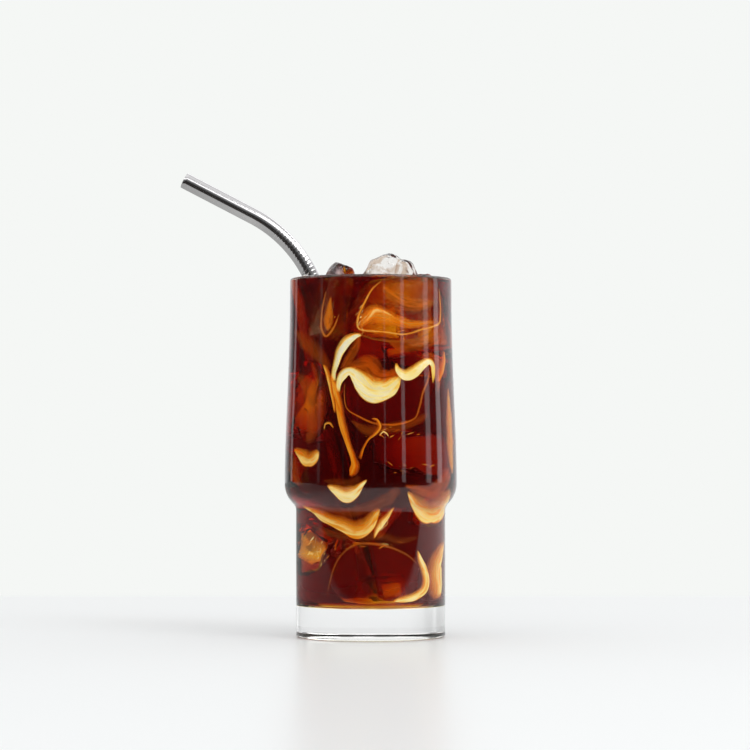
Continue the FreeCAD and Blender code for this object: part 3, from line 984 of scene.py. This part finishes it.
def cream_stuff():
    """Cream in streaks along its flow, with a painted glow in its own colour. It thins to nothing at its soft
    edges and takes up coffee.
    """
    material, tree, output, shader = new_material("cream")
    flow = tree.attribute("flow", "Vector")
    streak = tree.noise(flow, 1.0, stretch=(0.12, 0.9, 1), detail=5.0, distortion=0.6)
    solid = tree.attribute("solid")
    streaks = tree.times(tree.step(streak, 0.42, 0.7), STREAK_MIX)
    thin = tree.times(tree.step(solid, 0.9, 0.2), EDGE_MIX)
    mixed = tree.math("ADD", tree.math("ADD", tree.attribute("mixed"), streaks), thin)
    colour = tree.ramp(mixed, CREAM_TONES)
    alpha = tree.times(solid, tree.math("MULTIPLY_ADD", streak, 1.7, 0.2))
    alpha.node.use_clamp = True
    # painted glow: the cream's colour is also what it gives off
    tree.fill(shader, {
        "Base Color": colour, "Emission Color": colour, "Emission Strength": CREAM_PAINTED_GLOW,
        "Roughness": 0.5, "Specular IOR Level": 0.0, "Alpha": alpha})
    tree.put(shader.outputs["BSDF"], output.inputs["Surface"])
    return material


STEEL_DARK = (0.78, 0.765, 0.77)
STEEL_LIGHT = (0.85, 0.835, 0.83)
# painted light: the straw's stretch in the drink glows faintly amber, fading out towards the floor
SUNK_STRAW_PAINTED_GLOW = (0.42, 0.3, 0.06)
PAINTED_STRAW_GLOW_STRENGTH = 0.13


def polished_steel():
    """Drawn steel with fine scratches along the tube and a little unevenness in its polish. Its
    middle stretch in the drink has a faint painted glow, standing in for the light it catches through the
    coffee."""
    material, tree, output, shader = new_material("steel")
    place = tree.place()
    cloud = tree.noise(place, 240.0, detail=3.0)
    scratch = tree.noise(place, 1500.0, stretch=(0.12, 1, 1), detail=2.0)
    height = tree.axes(place)[2]
    sunk = tree.step(height, (LEVEL - 3) * MM, (LEVEL - 9) * MM)
    fading = tree.step(height, (FLOOR + 12) * MM, (FLOOR + 36) * MM)
    tree.fill(shader, {
        "Base Color": tree.mix_colour(cloud, STEEL_DARK, STEEL_LIGHT), "Metallic": 1.0,
        "Roughness": tree.math("MULTIPLY_ADD", scratch, 0.1, 0.06),
        # painted glow below the level
        "Emission Color": SUNK_STRAW_PAINTED_GLOW,
        "Emission Strength": tree.times(tree.times(sunk, fading), PAINTED_STRAW_GLOW_STRENGTH),
        "Normal": tree.bump(scratch, 0.05, 0.0002)})
    tree.put(shader.outputs["BSDF"], output.inputs["Surface"])
    return material


# ---------------- the setting

BACKDROP = (0.913, 0.93, 0.913)
TABLE_COLOUR = (0.895, 0.898, 0.91)
UNLIT = (0.03, 0.026, 0.025)
TABLE_BACK = (0.278, 0.29)   # metres behind the glass over which the table meets the backdrop
TABLE_FADE = (0.45, 0.9)     # metres from the glass over which the table blends into the room
TABLE_FRONT = (-0.2, -0.3)   # metres, where the table ends in front for polished surfaces
# painted shadow: polished surfaces see the table darker to the left of the glass
TABLE_LEFT = (-0.03, -0.2)   # metres, where it grows darker to the left for them
TABLE_LEFT_PAINTED_SHADE = 0.55
FLOOR_SIZE = 3000.0
FLOOR_DROP = 0.1             # how far the table lies under the glass


def mirrored(tree):
    """1 for what is seen in a reflection, 0 for what is seen directly or through glass."""
    path = tree.add("LightPath")
    through = tree.math("SUBTRACT", 1.0, path.outputs["Is Transmission Ray"])
    return tree.times(path.outputs["Is Glossy Ray"], through)


def table_top():
    """A pale table. Past its back edge and far off it takes the backdrop's colour, and past its
    front edge polished surfaces see it dark. To its left they see it darker, a painted shadow."""
    material, tree, output, shader = new_material("table_top")
    tree.fill(shader, {"Base Color": TABLE_COLOUR, "Roughness": 0.3, "Specular IOR Level": 0.05})
    place = tree.place()
    x, y, _ = tree.axes(place)
    distance = tree.add("VectorMath")
    distance.operation = "LENGTH"
    tree.put(place, distance.inputs[0])
    past_edge = tree.step(y, *TABLE_BACK)
    far_off = tree.step(distance.outputs["Value"], *TABLE_FADE)
    far = tree.add("Emission", {"Color": BACKDROP}).outputs["Emission"]
    dark = tree.add("Emission", {"Color": UNLIT}).outputs["Emission"]
    seen = tree.mix_shader(tree.math("MAXIMUM", past_edge, far_off), shader.outputs["BSDF"], far)
    # painted shadow to the left, seen only in reflections
    left = tree.times(tree.step(x, *TABLE_LEFT), TABLE_LEFT_PAINTED_SHADE)
    off_table = tree.math("MAXIMUM", tree.step(y, *TABLE_FRONT), left)
    surface = tree.mix_shader(tree.times(off_table, mirrored(tree)), seen, dark)
    tree.put(surface, output.inputs["Surface"])
    return material


def make_floor():
    """The flat table under the glass."""
    corners = [(x * FLOOR_SIZE, y * FLOOR_SIZE, -FLOOR_DROP)
               for x, y in ((-1, -1), (1, -1), (1, 1), (-1, 1))]
    floor = make_piece("table", corners, [(0, 1, 2, 3)], smooth=False)
    floor.data.materials.append(table_top())


# What polished surfaces see: grey by half the sine of the elevation plus a half, in front, and tall
# strips of light by the bearing from the drinker's side, in degrees to the right: the middle, half
# the width and the brightness.
STUDIO_FRONT = [
    (0.0, 0.02), (0.5, 0.02), (0.58, 0.06), (0.66, 0.16), (0.75, 0.3), (0.79, 1.7), (0.83, 1.7),
    (0.87, 0.55), (1.0, 0.9),
]
STRIPS = [
    (-74, 3, 0.33), (-37, 1.6, 0.12), (-18, 1.4, 0.12), (4, 1.2, 0.12), (19, 1.6, 0.6),
    (45, 3.6, 1.5), (84, 6, 1.6), (106, 7, 2.2), (-133, 4.5, 0.8),
]
STUDIO_BEHIND = 0.9
# What is seen through the glass besides the pale room: the bearing from straight behind and the
# elevation, half the width and height, all in degrees, and the brightness.
PATCHES = [
    (34, 24, 18, 14, 3.2), (-28, 34, 18, 12, 2.8), (52, -4, 7, 22, 0.2), (-46, 6, 9, 24, 0.25),
    (4, 30, 9, 9, 2.4), (30, 2, 10, 13, 0.42), (21.5, 3, 4.2, 7, 0.62), (-73, 3, 6, 9, 0.3),
    (72, 3, 5, 14, 0.35),
]
ROOM_DARK = 0.05
ROOM_BRIGHT = 0.87
OVERHEAD = 0.7
BAND_CORE = 0.45             # the share of a band's half width at full strength
DEGREES = 180 / math.pi


def bearing_of(tree, x, y):
    """The angle in degrees from the y input towards the x input."""
    return tree.times(tree.math("ARCTAN2", x, y), DEGREES)


def band(tree, value, middle, half):
    """1 near the middle, fading to 0 at half away from it."""
    off = tree.math("ABSOLUTE", tree.math("SUBTRACT", value, middle))
    return tree.step(off, half, half * BAND_CORE)


def mirror_light(tree, x, y, z):
    """The studio that glass and steel mirror: dark in front, with strips, bright above and behind."""
    half_up = tree.math("MULTIPLY_ADD", z, 0.5, 0.5)
    front = tree.ramp(half_up, [(place, (grey, grey, grey)) for place, grey in STUDIO_FRONT])
    rightwards = tree.math("ADD", y, tree.times(x, 0.3))
    behind = tree.times(tree.step(rightwards, 0.45, 0.85), STUDIO_BEHIND)
    light = tree.math("MAXIMUM", front, behind)
    bearing = bearing_of(tree, x, tree.times(y, -1.0))
    level = tree.step(tree.math("ABSOLUTE", z), 0.5, 0.2)
    for middle, half, power in STRIPS:
        glow = tree.times(band(tree, bearing, middle, half), level)
        light = tree.math("MAXIMUM", light, tree.times(glow, power))
    return light


def through_light(tree, x, y, z):
    """The pale room with a few brighter and darker patches, as seen through the glass."""
    overhead = tree.times(tree.step(z, 0.12, 0.4), OVERHEAD)
    bright = tree.math("MAXIMUM", tree.step(y, -0.5, -0.1), overhead)
    light = tree.math("MULTIPLY_ADD", bright, ROOM_BRIGHT, ROOM_DARK)
    bearing = bearing_of(tree, x, y)
    rise = tree.times(tree.math("ARCSINE", z), DEGREES)
    for side, up, half, tall, power in PATCHES:
        share = tree.times(band(tree, bearing, side, half), band(tree, rise, up, tall))
        light = tree.math("ADD", light, tree.times(share, tree.math("SUBTRACT", power, light)))
    return light


def background(tree, colour, strength):
    """One evenly or unevenly lit surrounding."""
    return tree.add("Background", {"Color": colour, "Strength": strength}).outputs["Background"]


def make_world():
    """A pale room. Reflections see a studio that is dark in front, and the glass lets through a
    room that is not quite even."""
    world = bpy.data.worlds.new("studio")
    bpy.context.scene.world = world
    world.use_nodes = True
    tree = Tree(world.node_tree)
    output = tree.add("OutputWorld")
    x, y, z = tree.axes(tree.add("TexCoord").outputs["Generated"])
    room = background(tree, BACKDROP, 1.0)
    past_glass = background(tree, (1, 1.01, 0.995), through_light(tree, x, y, z))
    studio = background(tree, (0.98, 0.985, 1), mirror_light(tree, x, y, z))
    through = tree.add("LightPath").outputs["Is Transmission Ray"]
    surrounding = tree.mix_shader(through, room, past_glass)
    tree.put(tree.mix_shader(mirrored(tree), surrounding, studio), output.inputs["Surface"])


def make_lamp():
    """One soft lamp to the front right, high up."""
    light = bpy.data.lights.new("key", "AREA")
    light.size = 0.6
    light.energy = 4.6
    lamp = bpy.data.objects.new("key", light)
    lamp.location = (0.8, -0.7, 1.2)
    lamp.rotation_euler = (math.radians(42), 0, math.radians(49))
    bpy.context.scene.collection.objects.link(lamp)


CAMERA_PLACE = (0, -1.092, 0.0784)
CAMERA_TILT = 1.364          # degrees above level
CAMERA_TURN = -0.09


def make_camera():
    """The camera in front of the glass, level with its middle."""
    camera = bpy.data.cameras.new("camera")
    camera.lens = 131.0
    camera.sensor_width = 36.0
    holder = bpy.data.objects.new("camera", camera)
    holder.location = CAMERA_PLACE
    holder.rotation_euler = (math.radians(90 + CAMERA_TILT), 0, math.radians(CAMERA_TURN))
    bpy.context.scene.collection.objects.link(holder)
    bpy.context.scene.camera = holder


def main():
    """Everything in order, then the colour view, denoising and bounces for the render."""
    make_camera()
    make_world()
    make_lamp()
    make_floor()
    make_glass()
    make_surface_ice()
    make_drink()
    make_cream()
    make_straw()
    scene = bpy.context.scene
    scene.view_settings.view_transform = "Standard"
    scene.cycles.use_denoising = True
    scene.cycles.max_bounces = 64
    scene.cycles.transmission_bounces = 64
    scene.cycles.transparent_max_bounces = 64


main()
